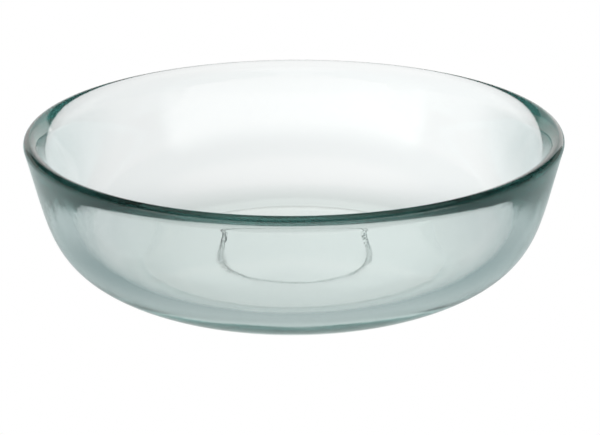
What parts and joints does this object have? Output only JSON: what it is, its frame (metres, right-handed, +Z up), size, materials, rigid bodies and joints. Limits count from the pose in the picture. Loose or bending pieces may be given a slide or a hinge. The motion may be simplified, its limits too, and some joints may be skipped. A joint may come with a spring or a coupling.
{
  "type": "bowl",
  "caption": "Round open bowl in thick, faintly tinted clear glass, with a rounded lip, a curved wall, a heavy floor and a flat ring to stand on.",
  "frame": {"origin": "middle of the flat ring that the bowl stands on, at the height of the surface below it", "axes": "+Z up along the bowl's axis of turning, towards the open mouth; the bowl is the same all the way round, so +X and +Y are any two directions at right angles"},
  "size_m": [0.2, 0.2, 0.0575],
  "materials": {
    "glass": "fire-polished pressed glass, clear with a faint blue-green tint that deepens where the glass is thick, smooth and glossy"
  },
  "bodies": {
    "root": {"bowl": "glass"}
  },
  "joints": []
}
